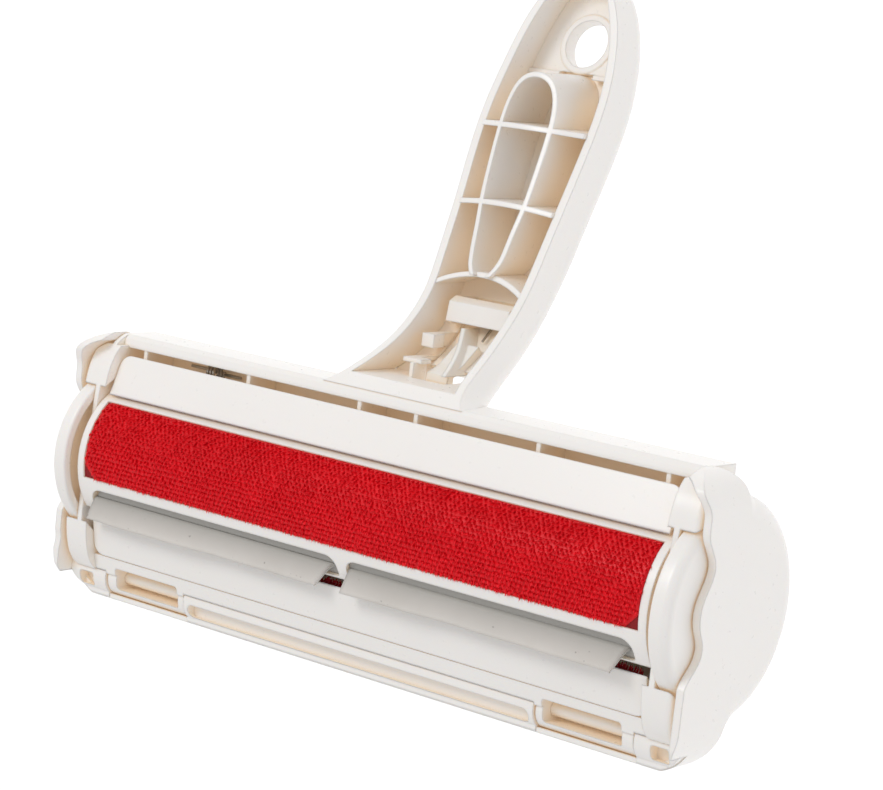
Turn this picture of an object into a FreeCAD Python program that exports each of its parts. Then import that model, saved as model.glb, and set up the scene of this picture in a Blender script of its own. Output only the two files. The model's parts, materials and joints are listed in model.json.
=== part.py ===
import FreeCAD, Part
import math
import os

# Two-way pet-hair lint roller. Millimetres.
# +X runs along the roller, +Y towards the handle's tip, +Z out of the working face,
# so the dust-chamber dome is on the -Z side.
# The sub-parts are drawn about the middle of the roller's axis, then moved together
# so that the origin is the middle of the hang hole near the handle's tip.

os.makedirs("parts", exist_ok=True)
V = FreeCAD.Vector

# ---------------------------------------------------------------- driving dimensions
WALL = 2.2                      # moulded wall
GAP = 0.3                       # gap between neighbouring pieces
RUN = 0.06                      # radial running clearance of a shaft
SNUG = 0.02                     # radial clearance of a fixed pin

DRUM_R = 18.93                  # roller panel, outer radius
DRUM_HALF = 85.2                # roller panel, half length
DRUM_WALL = 2.4
PAD_MID = 18.3                  # middle of the velvet, degrees from +Z towards +Y
PAD_HALF_ARC = 31.3             # half the velvet's arc, degrees
PAD_HALF = 83.1                 # velvet, half length
PANEL_HALF_ARC = 58.5           # half the panel's arc, degrees
BLADE_MID_ARC = 48.0            # middle of a blade slot from the middle of the velvet, degrees
BLADE_HALF_ARC = 8.4            # half of the slot's arc, degrees
SLOT_IN, SLOT_OUT = 1.4, 81.3   # blade slot, inner and outer ends along X

DISC_R = 21.6                   # end disc
DISC_IN, DISC_OUT = 87.25, 92.1
SIDE_IN, SIDE_OUT = 85.5, 86.95  # frame side plate
HUB_R = 7.0                     # spigot of the end disc

LIP_R = 19.85                   # mouth edges of the lips, radius
WIPER_R = 19.7                  # wiper pile, inner radius
LIP_HALF = 83.6
LIP_T = 1.8

DOME_R = 25.5                   # lid dome, outer radius about the roller's axis
CHEEK_OUT = 94.4                # lid cheek, outer face
LID_FRONT_Y = 31.2              # lid's outer face along the rail
LID_FRONT_R = 9.5               # lid's corners seen from above, beside the rail
LID_REAR_R = 12.0               # and beside the hinge
LIP_OUTER_R = 6.3               # outside of the lid around the hinge
LID_WALL = 1.9
LID_EDGE_Z = -6.5               # closing edge of the lid, under the upper rail

HINGE_Y, HINGE_Z = -29.7, 5.4   # lid hinge axis
BARREL_R = 5.2                  # lid barrel
KNUCKLE_R = 4.7                 # frame knuckle
ROD_R = 1.6                     # hinge rod
BARREL_HALF = 53.3              # lid's middle barrel, half length
KNUCKLE_IN, KNUCKLE_OUT = 53.7, 79.9
BLOCK_IN = 80.3                 # lid's corner blocks start here
WINDOW_IN, WINDOW_OUT = 55.6, 76.9

PIN_Y, PIN_Z = 48.0, -28.0      # pin of the release button
PIN_R = 1.1

RAIL_OUT_Y = 30.6               # outer face of the upper rail
RAIL_IN_Y = 27.6                # inner face of the rail's outer wall
RAIL_TOP_Z = 6.2
RAIL_FLOOR_Z = -3.4
RAIL_BOTTOM_Z = -5.9
RAIL_HALF = 86.95
RIB_X = (8.46, 43.45, 78.0)     # ribs across the slot

ORIGIN = V(0, 113.37, -57.43)     # middle of the hang hole, from the roller's axis
TIP_Y = 131.5                   # tip of the handle
HOLE_Y = 116.5                  # hang hole
HOLE_R = 6.0
BOSS_R = 7.7                    # ring around the hang hole
RING_DROP = 8.6                 # top of that ring, below the rim


# ---------------------------------------------------------------- helpers
def block(x0, x1, y0, y1, z0, z1):
    return Part.makeBox(x1 - x0, y1 - y0, z1 - z0, V(x0, y0, z0))


def rod_x(radius, x0, x1, y=0.0, z=0.0):
    return Part.makeCylinder(radius, x1 - x0, V(x0, y, z), V(1, 0, 0))


def polar(radius, degrees):
    # A point in the YZ plane, its angle counted from +Z towards +Y.
    a = math.radians(degrees)
    return (radius * math.sin(a), radius * math.cos(a))


def line(a, b):
    return Part.LineSegment(a, b).toShape()


def arc(a, b, c):
    return Part.Arc(a, b, c).toShape()


def spline(points):
    curve = Part.BSplineCurve()
    curve.interpolate(points)
    return curve.toShape()


def led_spline(points, start, end):
    # A spline that leaves and arrives along given directions.
    curve = Part.BSplineCurve()
    curve.interpolate(Points=points, InitialTangent=start, FinalTangent=end)
    return curve.toShape()


def in_yz(points, x):
    return [V(x, y, z) for y, z in points]


def in_xy(points, z):
    return [V(x, y, z) for x, y in points]


def prism_x(points, x0, x1):
    corners = in_yz(points, x0)
    face = Part.Face(Part.makePolygon(corners + [corners[0]]))
    return face.extrude(V(x1 - x0, 0, 0))


def solid_x(edges, x0, x1):
    # A closed outline in the plane X = x0, pushed along X.
    return Part.Face(Part.Wire(edges)).extrude(V(x1 - x0, 0, 0))


def other_side(shape):
    return shape.mirror(V(0, 0, 0), V(1, 0, 0))


def both_sides(shape):
    return shape.fuse(other_side(shape))


def rounded(shape, radius, picks):
    # Rounds the edges that picks() accepts.
    edges = [e for e in shape.Edges if picks(e)]
    if not edges:
        return shape
    return shape.makeFillet(radius, edges)


def save(shape, name):
    solids = shape.Solids
    if len(solids) == 1:
        shape = solids[0]
    shape = shape.translated(-ORIGIN)
    print(name, len(solids), "valid" if shape.isValid() else "INVALID", round(shape.Volume))
    shape.exportStep("parts/" + name + ".step")


def sector(radius, inner, a0, a1, x0, x1):
    # Part of a tube between two angles.
    am = (a0 + a1) / 2
    outer = [V(x0, *polar(radius, a)) for a in (a0, am, a1)]
    inside = [V(x0, *polar(inner, a)) for a in (a1, am, a0)]
    edges = [arc(*outer), line(outer[2], inside[0]), arc(*inside), line(inside[2], outer[0])]
    return solid_x(edges, x0, x1)


# ---------------------------------------------------------------- handle
RIM = [(30.4, 5.4), (34, 0.5), (40, -9), (46, -16), (53, -21.6), (62, -25.9), (73, -30.5),
       (92, -38.1), (107, -44.3), (123, -49.2), (133, -51.8)]
BACK = [(26.4, -6.0), (32, -15.5), (38, -24.0), (45, -31.0), (53, -36.2), (62, -40.6), (73, -45.3),
        (92, -52.8), (107, -58.0), (121, -60.8), (133, -61.4)]
HALF_WIDTH = [(30.0, 28.6), (22.5, 29.6), (18.6, 32), (16.4, 35.5), (15.2, 39.5), (14.5, 46), (14.6, 52),
              (15.3, 62), (15.9, 72), (16.8, 83), (17.4, 93), (17.2, 101), (16.3, 108), (14.8, 115),
              (12.0, 122.5), (7.2, 128.8)]
RIB_T = 1.25                    # ribs of the handle
CROWN_START_Y = 50.0            # the ribs' tops rise above the walls from here
CROWN_RATE = 0.13               # and gain this much height per millimetre
CROWN_HALF = 17.4
LOOP_END_Y = 105.8              # the far end of the rib loop
TIP_FLOOR_DROP = 9.3            # floor around the hang hole, below the rim
KERB_DROP = 8.4                 # low kerb at the edge of that floor, below the rim
LOOP_LEFT = [(2.2, 57.6), (3.9, 60.2), (5.2, 67), (6.4, 75), (7.1, 84), (7.4, 93), (6.6, 100)]


def rim_z(y):
    for (y0, z0), (y1, z1) in zip(RIM, RIM[1:]):
        if y <= y1:
            return z0 + (z1 - z0) * (y - y0) / (y1 - y0)
    return RIM[-1][1]


def plan_face(inset, start_y):
    # Outline of the handle from above; inset moves the wall inwards.
    right = in_xy([(w - inset, y) for w, y in HALF_WIDTH if y >= start_y], -80)
    left = [V(-p.x, p.y, p.z) for p in reversed(right)]
    outline = spline(right + [V(0, TIP_Y - inset, -80)] + left)
    a, d = right[0], left[-1]
    b, c = V(a.x, 26.4, a.z), V(d.x, 26.4, d.z)
    return Part.Face(Part.Wire([outline, line(d, c), line(c, b), line(b, a)]))


def plan_block(inset, start_y):
    return plan_face(inset, start_y).extrude(V(0, 0, 110))


def side_block(lower, upper_points, half=34.0):
    # Between a lower spline and an upper spline or line, across the handle.
    low = in_yz(lower, -half)
    high = in_yz(upper_points, -half)
    top = spline(high) if len(high) > 2 else line(high[0], high[1])
    edges = [spline(low), line(low[-1], high[-1]), top, line(high[0], low[0])]
    return solid_x(edges, -half, half)


def shifted(points, dz):
    return [(y, z + dz) for y, z in points]


def crown_block():
    # Everything below the surface that the ribs' tops follow.
    sections = []
    for y in (CROWN_START_Y, 62, 73, 84, 95, LOOP_END_Y + 2):
        z = rim_z(y) - 0.4
        top = z + CROWN_RATE * (y - CROWN_START_Y) + 0.05
        w = CROWN_HALF
        corners = [V(w, y, z), V(w, y, -90), V(-w, y, -90), V(-w, y, z)]
        edges = [arc(corners[3], V(0, y, top), corners[0])]
        edges += [line(a, b) for a, b in zip(corners, corners[1:])]
        sections.append(Part.Wire(edges))
    return Part.makeLoft(sections, True, True)


def arc_rib(half, end_y, rise, thickness=RIB_T):
    # A thin wall across the handle, arched towards the tip.
    z = -90
    near = [V(-half, end_y, z), V(0, end_y + rise, z), V(half, end_y, z)]
    far = [p + V(0, thickness, 0) for p in near]
    edges = [arc(*near), line(near[2], far[2]), arc(*far), line(far[0], near[0])]
    return Part.Face(Part.Wire(edges)).extrude(V(0, 0, 100))


def rib_loop():
    # Two long ribs joined by an arch near the hang hole.
    def ring(offset):
        right = in_xy([(x + offset, y) for x, y in LOOP_LEFT], -90)
        left = [V(-p.x, p.y, p.z) for p in right]
        top = V(0, LOOP_END_Y + offset, -90)
        curve = Part.BSplineCurve()
        curve.interpolate(right + [V(4.2 + offset * 0.7, 104.3 + offset * 0.7, -90), top,
                                   V(-4.2 - offset * 0.7, 104.3 + offset * 0.7, -90)] + left[::-1])
        face = Part.Face(Part.Wire([curve.toShape(), line(left[0], right[0])]))
        return face.extrude(V(0, 0, 100))
    return ring(RIB_T / 2).cut(ring(-RIB_T / 2))


def tip_normal():
    # Outward normal of the handle at the hang hole.
    (y0, z0), (y1, z1) = RIM[-3], RIM[-2]
    length = math.hypot(y1 - y0, z1 - z0)
    return V(0, (z0 - z1) / length, (y1 - y0) / length)


def hole_axis():
    n = tip_normal()
    base = V(0, HOLE_Y, rim_z(HOLE_Y))
    return base, n


def handle_shell():
    outer = side_block(BACK, RIM).common(plan_block(0, 0))
    outer = rounded(outer, 4.0, lambda e: e.BoundBox.ZMin < -57 and e.BoundBox.YLength > 60)
    return outer.common(block(-40, 40, 28.4, 140, -80, 5.4))


def handle_ribs(room):
    ribs = [arc_rib(18, 92.0, 0.6), arc_rib(18, 72.6, 1.6)]
    solids = [room.common(r).common(crown_block()) for r in ribs]
    loop = room.common(rib_loop()).common(crown_block())
    bay_wall = room.common(arc_rib(15, 52.6, 4.6)).common(side_block(BACK, shifted(RIM, -0.2)))
    cross = block(5, 20, LOOP_END_Y - 0.2, LOOP_END_Y + RIB_T, -90, 0)
    cross = room.common(both_sides(cross)).common(side_block(BACK, shifted(RIM, -KERB_DROP)))
    return solids + [loop, bay_wall, cross]


def handle():
    outer = handle_shell()
    room_low = shifted(BACK, 2.8)
    deep = side_block(room_low, [(room_low[0][0], 60), (133, 60)])
    deep = deep.common(plan_block(WALL, 30)).common(block(-40, 40, 33.2, LOOP_END_Y + 1, -90, 60))
    tip_low = [(y, z - TIP_FLOOR_DROP) for y, z in RIM if y > 80]
    shallow = side_block(tip_low, [(92, 60), (133, 60)])
    shallow = shallow.common(plan_block(WALL, 30)).common(block(-40, 40, LOOP_END_Y + 0.5, 140, -90, 60))
    shell = outer.cut(deep).cut(shallow)
    base, n = hole_axis()
    ring = Part.makeCylinder(BOSS_R, 14.0 - RING_DROP, base - n * 14.0, n)
    ring = rounded(ring, 0.5, lambda e: (e.CenterOfMass - base).dot(n) > -RING_DROP - 0.1)
    ring = ring.common(side_block(shifted(BACK, 1.0), RIM))
    shell = shell.fuse([ring] + handle_ribs(deep))
    hole = Part.makeCylinder(HOLE_R, 60, base - n * 40, n)
    return shell.cut(hole)


# ---------------------------------------------------------------- frame
UPPER_LIP = [(15.7, 11.85), (25.9, 8.0)]      # outer face of the lip, mouth edge first
LOWER_LIP = [(-14.3, 13.6), (-24.1, 11.8)]
ARCH = [(30.6, 4.6), (28.6, 8.2), (24.5, 11.4), (19, 13.0), (11, 13.9), (0, 14.7), (-9, 15.4), (-16, 15.5),
        (-22.6, 14.5), (-25.6, 13.3), (-28.4, 10.8)]
POST_OUT = 91.6                 # the wide ends of the side plates reach out to here
POST_LIMIT_Y = 28.0


def hinge_cylinder(radius, x0, x1):
    return rod_x(radius, x0, x1, HINGE_Y, HINGE_Z)


def upper_rail():
    near = [(20.6, RAIL_BOTTOM_Z), (RAIL_OUT_Y, RAIL_BOTTOM_Z), (RAIL_OUT_Y, RAIL_TOP_Z - 1.4),
            (29.6, RAIL_TOP_Z - 0.3), (28.4, RAIL_TOP_Z), (RAIL_IN_Y, RAIL_TOP_Z), (RAIL_IN_Y, RAIL_FLOOR_Z),
            (22.3, RAIL_FLOOR_Z), (22.3, 6.9), (20.6, 7.5)]
    rail = prism_x(near, -RAIL_HALF, RAIL_HALF)
    for x in RIB_X:
        rib = block(x - 0.6, x + 0.6, 22.0, RAIL_IN_Y + 0.5, RAIL_FLOOR_Z - 1, RAIL_TOP_Z - 0.2)
        rail = rail.fuse(both_sides(rib))
    return rail


def lower_bar():
    outline = [(-22.0, 9.6), (-24.25, 9.75), (-24.25, 11.7), (-28.7, 10.55), (-28.7, 1.4), (-24.6, -0.4),
               (-22.0, 2.0)]
    bar = prism_x(outline, -RAIL_HALF, RAIL_HALF)
    for x0, x1 in ((-BARREL_HALF - 0.2, BARREL_HALF + 0.2), (BLOCK_IN - 0.2, 100), (-100, 0.2 - BLOCK_IN)):
        bar = bar.cut(hinge_cylinder(BARREL_R + GAP, x0, x1))
    knuckle = hinge_cylinder(KNUCKLE_R, KNUCKLE_IN, KNUCKLE_OUT)
    bridge = block(KNUCKLE_IN, KNUCKLE_OUT, HINGE_Y, -26.0, 2.6, 10.0)
    knuckle = knuckle.fuse(bridge)
    window = block(WINDOW_IN, WINDOW_OUT, -32.2, -26.7, 3.4, 12)
    window = rounded(window, 0.8, lambda e: e.BoundBox.ZLength > 5)
    bar = bar.fuse(both_sides(knuckle)).cut(both_sides(window))
    return bar.cut(both_sides(hinge_cylinder(ROD_R + RUN, KNUCKLE_IN - 1, KNUCKLE_OUT + 1)))


def lid_plan(inset):
    # The lid's outline seen from above, with its large corners, as a tall block.
    half = CHEEK_OUT - inset
    body = block(-half, half, HINGE_Y - LIP_OUTER_R + inset, LID_FRONT_Y - inset, -60, 60)
    body = rounded(body, LID_FRONT_R - inset, lambda e: e.BoundBox.ZLength > 100 and e.CenterOfMass.y > 0)
    return rounded(body, LID_REAR_R - inset, lambda e: e.BoundBox.ZLength > 100 and e.CenterOfMass.y < -30)


def side_plate():
    # Right-hand side plate with its bearing; the left one is its mirror image.
    low = [(-28.4, 10.8), (-27.2, 3.0), (-22.6, -1.6), (-11.5, -4.2), (-9.6, -6.0)]
    high = [(9.6, -6.0), (11.5, -4.4), (20.6, RAIL_BOTTOM_Z), (RAIL_OUT_Y, RAIL_BOTTOM_Z), (RAIL_OUT_Y, 4.6)]
    x = SIDE_IN
    low_points = in_yz(low, x)
    high_points = in_yz(high, x)
    edges = [line(a, b) for a, b in zip(low_points, low_points[1:])]
    edges.append(arc(low_points[-1], V(x, 0, -11.3), high_points[0]))
    edges += [line(a, b) for a, b in zip(high_points, high_points[1:])]
    edges.append(spline(in_yz(ARCH, x)))
    plate = solid_x(edges, SIDE_IN, SIDE_OUT)
    face = Part.Face(Part.Wire(edges))
    wide = face.extrude(V(POST_OUT - SIDE_IN, 0, 0)).fuse(face.extrude(V(LIP_HALF + 0.2 - SIDE_IN, 0, 0)))
    wide = wide.cut(rod_x(DISC_R + 0.6, 80, 100)).cut(block(80, 100, -60, 60, -30, -2.5))
    wide = wide.cut(block(80, 100, POST_LIMIT_Y, 60, -30, 60))
    beside_lid = [(24.3, -3.0), (25.7, -1.1), (27.6, 2.2), (28.0, 3.6), (40, 3.6), (40, -3.0)]
    wide = wide.cut(prism_x(beside_lid, 80, 100))
    wide = rounded(wide, 1.4, lambda e: e.BoundBox.XLength < 0.01 and e.BoundBox.ZMax > 9
                   and e.CenterOfMass.x > POST_OUT - 0.01 and abs(e.CenterOfMass.y) > 21.5)
    plate = plate.fuse(wide.common(lid_plan(LID_WALL + GAP)))
    plate = plate.cut(hinge_cylinder(BARREL_R + GAP, 80, 100)).cut(block(80, 100, -60, -28.6, -30, 30))
    return plate.cut(rod_x(HUB_R + RUN, 80, 90))


def pin_ears():
    # Two ears on the floor of the handle hold the button's pin.
    outline = [(45.0, -29.6), (51.2, -33.6), (51.6, -26.6), (50.4, -24.3), (45.6, -23.6), (45.0, -25.2)]
    ear = prism_x(outline, 7.5, 9.1)
    ears = both_sides(ear.cut(rod_x(PIN_R + SNUG, 0, 20, PIN_Y, PIN_Z)))
    # A bent roof from ear to ear shields the pin and its spring.
    roof = prism_x([(45.4, -25.4), (50.0, -25.4), (51.2, -27.2), (51.6, -26.6), (50.4, -24.3), (45.6, -23.6)],
                   -7.6, 7.6)
    return ears.fuse(roof)


def button_opening():
    # Opening in the back of the handle for the thumb pad, and the catch's slot below it.
    pad = prism_x([(30.2, -20.9), (46.1, -37.6), (53.3, -30.4), (37.4, -13.7)], -7.2, 7.2)
    slot = block(-5.0, 5.0, 24.0, 36.0, -30, -7.4)
    return pad.fuse(slot)


def bay_posts():
    # A T-shaped guide post and a stop block at the root of the handle.
    head = block(-9.5, -3.9, 36.3, 37.4, -13.2, -9.6).fuse(block(-9.5, -7.3, 36.3, 37.4, -22, -9.6))
    stem = block(-6.2, -5.0, 30.8, 36.5, -13.2, -8.2)
    stop = block(-9.6, -6.0, 39.6, 42.8, -20.0, -16.0).fuse(block(-9.6, -7.3, 39.6, 42.8, -28, -16.0))
    return head.fuse([stem, stop])


def handle_frame():
    frame = handle().cut(button_opening())
    rail = upper_rail().cut(block(-5.0, 5.0, 29.0, 31.2, -7, -5.0))
    posts = bay_posts().common(side_block(shifted(BACK, 1.0), shifted(RIM, -1.0)))
    frame = frame.fuse([rail, lower_bar(), both_sides(side_plate()), pin_ears(), posts])
    return frame.removeSplitter()


def lip_inner(outer):
    # The lip's inner face, mouth edge first.
    (y0, z0), (y1, z1) = outer
    length = math.hypot(y1 - y0, z1 - z0)
    side = 1 if y1 > y0 else -1
    dy = side * (z1 - z0) / length * LIP_T
    dz = -abs(y1 - y0) / length * LIP_T
    return [(y0 + dy, z0 + dz), (y1 + dy, z1 + dz)]


def lip_plate(outer, half):
    inner = lip_inner(outer)
    plate = prism_x([outer[0], outer[1], inner[1], inner[0]], -half, half)
    plate = rounded(plate, 3.0, lambda e: e.BoundBox.XLength < 0.01 and abs(e.CenterOfMass.y) > 23.5
                    and e.BoundBox.ZLength > 1)
    return plate.cut(rod_x(LIP_R, -100, 100))


def wiper_pile(outer, start, end):
    # A strip of pile glued under the lip, between two angles from +Z towards +Y.
    half = LIP_HALF - 1.5
    (y0, z0), (y1, z1) = lip_inner(outer)
    dy, dz = y1 - y0, z1 - z0
    corners = [(y0 - dy, z0 - dz - 0.05), (y1 + dy, z1 + dz - 0.05), (y1 + dy, 40), (y0 - dy, 40)]
    return sector(DRUM_R + 3.6, WIPER_R, start, end, -half, half).cut(prism_x(corners, -100, 100))


# ---------------------------------------------------------------- roller
PANEL_A0, PANEL_A1 = PAD_MID - PANEL_HALF_ARC, PAD_MID + PANEL_HALF_ARC
BACKING_R = (18.3, 18.55)
PILE_R = (18.55, 18.98)
SOCKET_R = 7.05
END_T = 2.2                     # end wall of the panel


def around_x(shape, degrees):
    # Carries a piece built on +Z to an angle from +Z towards +Y.
    out = shape.copy()
    out.rotate(V(0, 0, 0), V(1, 0, 0), -degrees)
    return out


def slot_body(side, outer_sign, z0, z1, shrink=0.0):
    # A slot with one rounder side: the side towards the velvet has the large corner radius.
    half = math.radians(BLADE_HALF_ARC) * DRUM_R - shrink
    x0, x1 = SLOT_IN + shrink, SLOT_OUT - shrink
    body = block(x0, x1, -half, half, z0, z1)
    upright = [e for e in body.Edges if e.BoundBox.ZLength > 0.9 * (z1 - z0)]
    big = [e for e in upright if e.CenterOfMass.y * outer_sign > 0]
    small = [e for e in upright if e.CenterOfMass.y * outer_sign < 0]
    body = body.makeFillet(3.2 - shrink, big)
    upright = [e for e in body.Edges if e.BoundBox.ZLength > 0.9 * (z1 - z0) and e.BoundBox.XLength < 0.01
               and abs(abs(e.CenterOfMass.y) - half) < 0.01 and e.CenterOfMass.y * outer_sign < 0]
    if upright:
        body = body.makeFillet(1.2, upright)
    return body if side > 0 else other_side(body)


def blade(side, row):
    # row -1: below the velvet, row +1: above it. The flap leans away from the velvet.
    foot = slot_body(side, -row, DRUM_R - 2.0, DRUM_R - 0.7, 0.06)
    x0, x1 = SLOT_IN + 2.6, SLOT_OUT - 2.9
    outline = [(-0.5, 18.0), (0.5, 18.0), (2.4, 18.86), (4.6, 18.5), (4.75, 19.0), (2.3, 19.42), (0.9, 19.0)]
    flap = prism_x([(row * y, z) for y, z in outline], x0, x1)
    if side < 0:
        flap = other_side(flap)
    return around_x(foot.fuse(flap), PAD_MID + row * BLADE_MID_ARC)


def drum():
    panel = sector(DRUM_R, DRUM_R - DRUM_WALL, PANEL_A0, PANEL_A1, -DRUM_HALF, DRUM_HALF)
    end = sector(DRUM_R, 3.0, PANEL_A0, PANEL_A1, DRUM_HALF - END_T, DRUM_HALF)
    end = end.fuse(rod_x(10.5, DRUM_HALF - END_T, DRUM_HALF))
    panel = panel.fuse(both_sides(end))
    for x in (-42.0, 0.0, 42.0):
        panel = panel.fuse(sector(DRUM_R - 1.0, 10.5, PANEL_A0 + 4, PANEL_A1 - 4, x - 0.8, x + 0.8))
    spine = around_x(block(-DRUM_HALF, DRUM_HALF, -0.9, 0.9, 10.5, DRUM_R - 1), PAD_MID)
    panel = panel.fuse(spine)
    recess = sector(DRUM_R + 1, BACKING_R[0], PAD_MID - PAD_HALF_ARC, PAD_MID + PAD_HALF_ARC,
                    -PAD_HALF, PAD_HALF)
    panel = panel.cut(recess)
    for row in (-1, 1):
        for side in (-1, 1):
            slot = slot_body(side, -row, DRUM_R - 2.0, DRUM_R + 2)
            panel = panel.cut(around_x(slot, PAD_MID + row * BLADE_MID_ARC))
    return panel.cut(rod_x(SOCKET_R, -100, 100))


def velvet(radii, shrink):
    piece = sector(radii[1], radii[0], PAD_MID - PAD_HALF_ARC + shrink, PAD_MID + PAD_HALF_ARC - shrink,
                   -PAD_HALF + shrink, PAD_HALF - shrink)
    return piece


def end_disc():
    disc = rod_x(DISC_R, DISC_IN, DISC_OUT)
    disc = rounded(disc, 2.2, lambda e: e.CenterOfMass.x > DISC_OUT - 0.01)
    disc = rounded(disc, 0.6, lambda e: abs(e.CenterOfMass.x - DISC_IN) < 0.01 and e.BoundBox.YLength > 40)
    disc = disc.fuse(rod_x(HUB_R, DRUM_HALF - END_T, DISC_IN + 0.5))
    disc = disc.cut(rod_x(HUB_R - 1.8, DRUM_HALF - END_T - 1, DISC_IN + 2.4))
    disc = disc.cut(rod_x(DISC_R - 2.2, 80, DISC_IN + 2.4).cut(rod_x(HUB_R, 80, 95)))
    return disc.cut(block(80, 100, -3.0, -0.8, 8.0, 10.2))


# ---------------------------------------------------------------- lid
WAVE = [(35.0, 5.6), (31.6, 6.9), (30.2, 10.0), (28.6, 13.2), (26.6, 14.8), (24.6, 14.2),
        (22.3, 13.2), (17.7, 12.9), (14.4, 11.0),
        (11, 9.3), (8, 9.9), (4.9, 11.6), (2, 12.7), (-2.5, 12.2), (-6.5, 10.5), (-9.6, 11.4),
        (-12.9, 14.4), (-17, 16.1), (-22, 15.2), (-26.6, 15.9), (-30.6, 14.4), (-34.0, 10.6), (-38, 4.0)]
LID_TOP = 18.0
LID_ROUND = 4.5
SIDE_OPEN = 87.2                # the front wall is low between the corners, up to here
REAR_OPEN = 92.5                # and so is the wall behind the hinge


def moved_in(points, first_way, last_way, distance):
    # The points of a line moved to its right-hand side. The ways are the line's directions at its ends.
    moved = []
    for i, (y, z) in enumerate(points):
        if i == 0:
            dy, dz = first_way
        elif i == len(points) - 1:
            dy, dz = last_way
        else:
            dy, dz = points[i + 1][0] - points[i - 1][0], points[i + 1][1] - points[i - 1][1]
        length = math.hypot(dy, dz)
        moved.append((y + distance * dz / length, z - distance * dy / length))
    return moved


def lid_outline(x, inset):
    outer_y = HINGE_Y - LIP_OUTER_R
    side = moved_in([(LID_FRONT_Y, 7.5), (30.2, 1.6), (27.8, -2.4), (24.9, -5.5)],
                    (0, -1), (-5.5, -24.9), inset)
    root = moved_in([(-23.9, -8.9), (-25.4, -5.5), (-29.1, -2.4), (-33.5, 0.1), (outer_y, HINGE_Z)],
                    (-0.349, 0.937), (0, 1), inset)
    front = V(x, side[0][0], LID_TOP)
    rear = V(x, root[-1][0], LID_TOP)
    return [line(front, V(x, *side[0])), led_spline(in_yz(side, x), V(0, 0, -1), V(0, -0.6, -0.8)),
            arc(V(x, *side[-1]), V(x, 0, inset - DOME_R), V(x, *root[0])),
            led_spline(in_yz(root, x), V(0, -0.349, 0.937), V(0, 0, 1)),
            line(V(x, *root[-1]), rear), line(rear, front)]


def lid_solid(inset):
    face = Part.Face(Part.Wire(lid_outline(inset - CHEEK_OUT, inset)))
    return face.extrude(V(2 * (CHEEK_OUT - inset), 0, 0))


def lid():
    outer = rounded(lid_solid(0), LID_ROUND, lambda e: e.BoundBox.XLength < 0.01
                    and e.BoundBox.ZMin < LID_TOP - 0.1)
    room = lid_solid(LID_WALL).common(lid_plan(LID_WALL))
    shell = outer.common(lid_plan(0)).cut(room).cut(block(-100, 100, -60, 60, LID_TOP - LID_WALL - 0.5, 60))
    shell = shell.cut(block(-SIDE_OPEN, SIDE_OPEN, -20, 60, LID_EDGE_Z, 60))
    behind = block(-REAR_OPEN, REAR_OPEN, -60, -20, HINGE_Z, 60).cut(hinge_cylinder(LIP_OUTER_R, -100, 100))
    shell = shell.cut(behind).cut(block(-REAR_OPEN, REAR_OPEN, -60, -20, HINGE_Z + 3.0, 60))
    wave = in_yz(WAVE, -120)
    far = [V(-120, WAVE[-1][0], 60), V(-120, WAVE[0][0], 60)]
    edges = [spline(wave), line(wave[-1], far[0]), line(far[0], far[1]), line(far[1], wave[0])]
    shell = shell.cut(solid_x(edges, -120, 120))
    for x0, x1 in ((KNUCKLE_IN - GAP, KNUCKLE_OUT + GAP), (-KNUCKLE_OUT - GAP, GAP - KNUCKLE_IN)):
        shell = shell.cut(hinge_cylinder(KNUCKLE_R + GAP, x0, x1))
    return shell.fuse([lid_barrel(), both_sides(corner_block()), lid_catch()])


def lid_barrel():
    barrel = hinge_cylinder(BARREL_R, -BARREL_HALF, BARREL_HALF)
    web = block(-BARREL_HALF, BARREL_HALF, -35.2, HINGE_Y - 1, -0.8, HINGE_Z + 3.3)
    barrel = barrel.fuse(web.common(hinge_cylinder(LIP_OUTER_R - 0.2, -60, 60)))
    groove = block(-52, 52, -33.4, -30.2, 7.9, 14)
    groove = rounded(groove, 1.5, lambda e: e.BoundBox.ZLength > 5)
    barrel = barrel.cut(groove)
    bore = hinge_cylinder(ROD_R + SNUG, 47.8, 60)
    return barrel.cut(both_sides(bore))


def corner_block():
    inner = CHEEK_OUT - LID_WALL + 0.5
    body = hinge_cylinder(BARREL_R, BLOCK_IN, inner)
    body = body.fuse(block(BLOCK_IN, inner, -35.4, HINGE_Y - 1, 1.5, HINGE_Z + 3.3)
                     .common(hinge_cylinder(LIP_OUTER_R - 0.2, 60, 100)))
    pocket = block(84.6, 89.4, -33.0, -29.6, 7.4, 14)
    pocket = rounded(pocket, 0.8, lambda e: e.BoundBox.ZLength > 5)
    return body.common(lid_plan(0.3)).cut(pocket).cut(hinge_cylinder(ROD_R + SNUG, 70, 86.2))


def lid_catch():
    tab = block(-4.0, 4.0, 21.8, 30.6, -10.4, -8.4)
    return tab.cut(rod_x(DOME_R - 1.0, -10, 10))


def hinge_rod():
    return hinge_cylinder(ROD_R, 48.0, 86.0)


# ---------------------------------------------------------------- release button
PAD_LOW = [(33.8, -18.7), (38.0, -25.0), (43.0, -30.4), (48.2, -34.6)]
PAD_T = 1.7                     # thickness of the thumb pad, along Y and Z alike
PAD_W = 6.85                    # half width
GRIP_T = 0.6
NOSE_Y = 31.0                   # the hook's nose stays just clear of the lid's catch


def pad_solid(low, thickness, half):
    high = [(y + thickness, z + thickness) for y, z in low]
    edges = [spline(in_yz(low, -half)), line(V(-half, *low[-1]), V(-half, *high[-1])),
             spline(in_yz(high[::-1], -half)), line(V(-half, *high[0]), V(-half, *low[0]))]
    return solid_x(edges, -half, half)


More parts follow.
